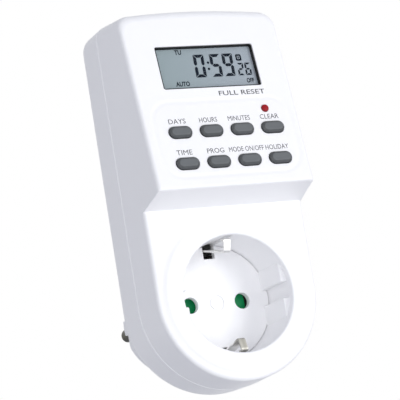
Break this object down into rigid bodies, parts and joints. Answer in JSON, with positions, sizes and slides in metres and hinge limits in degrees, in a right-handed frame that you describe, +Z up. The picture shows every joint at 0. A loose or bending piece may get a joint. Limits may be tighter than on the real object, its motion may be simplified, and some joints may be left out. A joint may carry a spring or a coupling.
{
  "type": "plug-in timer switch",
  "caption": "Plug-in digital timer switch with an earthed socket on its lower front, a tilted panel with display and keys above, and an earthed plug on its back.",
  "frame": {"origin": "on the common axis of the socket and the plug, in the plane where the plinth on the back meets the wall socket", "axes": "+Z up, the display above the socket; -Y out of the front, towards the user; +Y along the plug pins, into the wall; +X to the right for a user who faces the display"},
  "size_m": [0.0588, 0.0881, 0.1268],
  "materials": {
    "white_shell": "fine satin moulding grain",
    "black_trim": "satin black",
    "clear_lens": "clear and smooth",
    "display_glass": "dark green-grey behind a polariser",
    "contact_rubber": "matte",
    "silicone": "matte",
    "key_grey": "satin",
    "red_button": "satin",
    "green_board": "solder mask",
    "tan_board": "bare laminate",
    "screw_steel": "zinc plated",
    "black_resin": "moulded",
    "metal_can": "drawn can",
    "cell_can": "drawn can",
    "nickel_sheet": "nickel plated sheet",
    "ribbon_grey": "smooth",
    "copper_winding": "enamelled wire",
    "relay_iron": "plated iron",
    "brass_sheet": "pressed sheet",
    "relay_case": "translucent",
    "yellow_box": "moulded box",
    "capacitor_sleeve": "shrunk sleeve",
    "resistor_body": "lacquered",
    "varistor_blue": "dipped coating",
    "green_shutter": "moulded",
    "spring_steel": "drawn wire",
    "block_plastic": "moulded",
    "pin_nickel": "nickel plated brass",
    "lead_brown": "insulation",
    "lead_black": "insulation",
    "lead_blue": "insulation"
  },
  "bodies": {
    "case": {"front_cover": "white_shell", "rear_cover": "white_shell", "display_bezel": "black_trim", "display_lens": "clear_lens", "lcd_glass": "display_glass", "zebra_strips": "contact_rubber", "keypad_mat": "silicone", "display_board": "green_board", "board_screws": "screw_steel", "controller_chip": "black_resin", "clock_crystal": "metal_can", "standby_cell": "cell_can", "cell_tabs": "nickel_sheet", "ribbon_cable": "ribbon_grey", "power_board": "tan_board", "power_board_screws": "screw_steel", "relay_base": "black_resin", "relay_coil": "copper_winding", "relay_yoke": "relay_iron", "relay_contact": "brass_sheet", "relay_cover": "relay_case", "film_capacitor": "yellow_box", "smoothing_capacitor": "capacitor_sleeve", "rectifier_diodes": "black_resin", "dropper_resistor": "resistor_body", "surge_varistor": "varistor_blue", "driver_transistor": "black_resin", "shutter_spring": "spring_steel", "contact_block": "block_plastic", "block_screws": "screw_steel", "live_contact": "brass_sheet", "neutral_contact": "brass_sheet", "earth_bracket": "nickel_sheet", "plug_pin_left": "pin_nickel", "plug_pin_right": "pin_nickel", "live_in_lead": "lead_brown", "live_out_lead": "lead_black", "neutral_lead": "lead_blue", "case_screws": "screw_steel"},
    "key_day": {"key_day": "key_grey"},
    "key_hour": {"key_hour": "key_grey"},
    "key_minute": {"key_minute": "key_grey"},
    "key_clear": {"key_clear": "key_grey"},
    "key_time": {"key_time": "key_grey"},
    "key_program": {"key_program": "key_grey"},
    "key_mode": {"key_mode": "key_grey"},
    "key_random": {"key_random": "key_grey"},
    "reset_button": {"reset_button": "red_button"},
    "shutter": {"shutter": "green_shutter"},
    "relay_armature": {"relay_armature": "relay_iron"}
  },
  "joints": [
    {"name": "key_day_press", "type": "slide", "parent": "case", "child": "key_day", "axis": [0, 0.986, -0.1668], "range_m": [0, 0.001], "stiffness_N_per_m": 600, "springref_m": -0.0005, "deforming": ["keypad_mat"]},
    {"name": "key_hour_press", "type": "slide", "parent": "case", "child": "key_hour", "axis": [0, 0.986, -0.1668], "range_m": [0, 0.001], "stiffness_N_per_m": 600, "springref_m": -0.0005, "deforming": ["keypad_mat"]},
    {"name": "key_minute_press", "type": "slide", "parent": "case", "child": "key_minute", "axis": [0, 0.986, -0.1668], "range_m": [0, 0.001], "stiffness_N_per_m": 600, "springref_m": -0.0005, "deforming": ["keypad_mat"]},
    {"name": "key_clear_press", "type": "slide", "parent": "case", "child": "key_clear", "axis": [0, 0.986, -0.1668], "range_m": [0, 0.001], "stiffness_N_per_m": 600, "springref_m": -0.0005, "deforming": ["keypad_mat"]},
    {"name": "key_time_press", "type": "slide", "parent": "case", "child": "key_time", "axis": [0, 0.986, -0.1668], "range_m": [0, 0.001], "stiffness_N_per_m": 600, "springref_m": -0.0005, "deforming": ["keypad_mat"]},
    {"name": "key_program_press", "type": "slide", "parent": "case", "child": "key_program", "axis": [0, 0.986, -0.1668], "range_m": [0, 0.001], "stiffness_N_per_m": 600, "springref_m": -0.0005, "deforming": ["keypad_mat"]},
    {"name": "key_mode_press", "type": "slide", "parent": "case", "child": "key_mode", "axis": [0, 0.986, -0.1668], "range_m": [0, 0.001], "stiffness_N_per_m": 600, "springref_m": -0.0005, "deforming": ["keypad_mat"]},
    {"name": "key_random_press", "type": "slide", "parent": "case", "child": "key_random", "axis": [0, 0.986, -0.1668], "range_m": [0, 0.001], "stiffness_N_per_m": 600, "springref_m": -0.0005, "deforming": ["keypad_mat"]},
    {"name": "reset_press", "type": "slide", "parent": "case", "child": "reset_button", "axis": [0, 0.986, -0.1668], "range_m": [0, 0.0008], "stiffness_N_per_m": 500, "springref_m": -0.0005, "deforming": ["keypad_mat"]},
    {"name": "shutter_turn", "type": "hinge", "parent": "case", "child": "shutter", "pos_m": [0, -0.0177, 0], "axis": [0, 1, 0], "range_deg": [0, 38], "stiffness_Nm_per_rad": 0.002, "springref_deg": -11.46, "deforming": ["shutter_spring"]},
    {"name": "armature_swing", "type": "hinge", "parent": "case", "child": "relay_armature", "pos_m": [0.0115, -0.02751, 0.0581], "axis": [1, 0, 0], "range_deg": [0, 4], "stiffness_Nm_per_rad": 0.01, "springref_deg": -5.73}
  ]
}
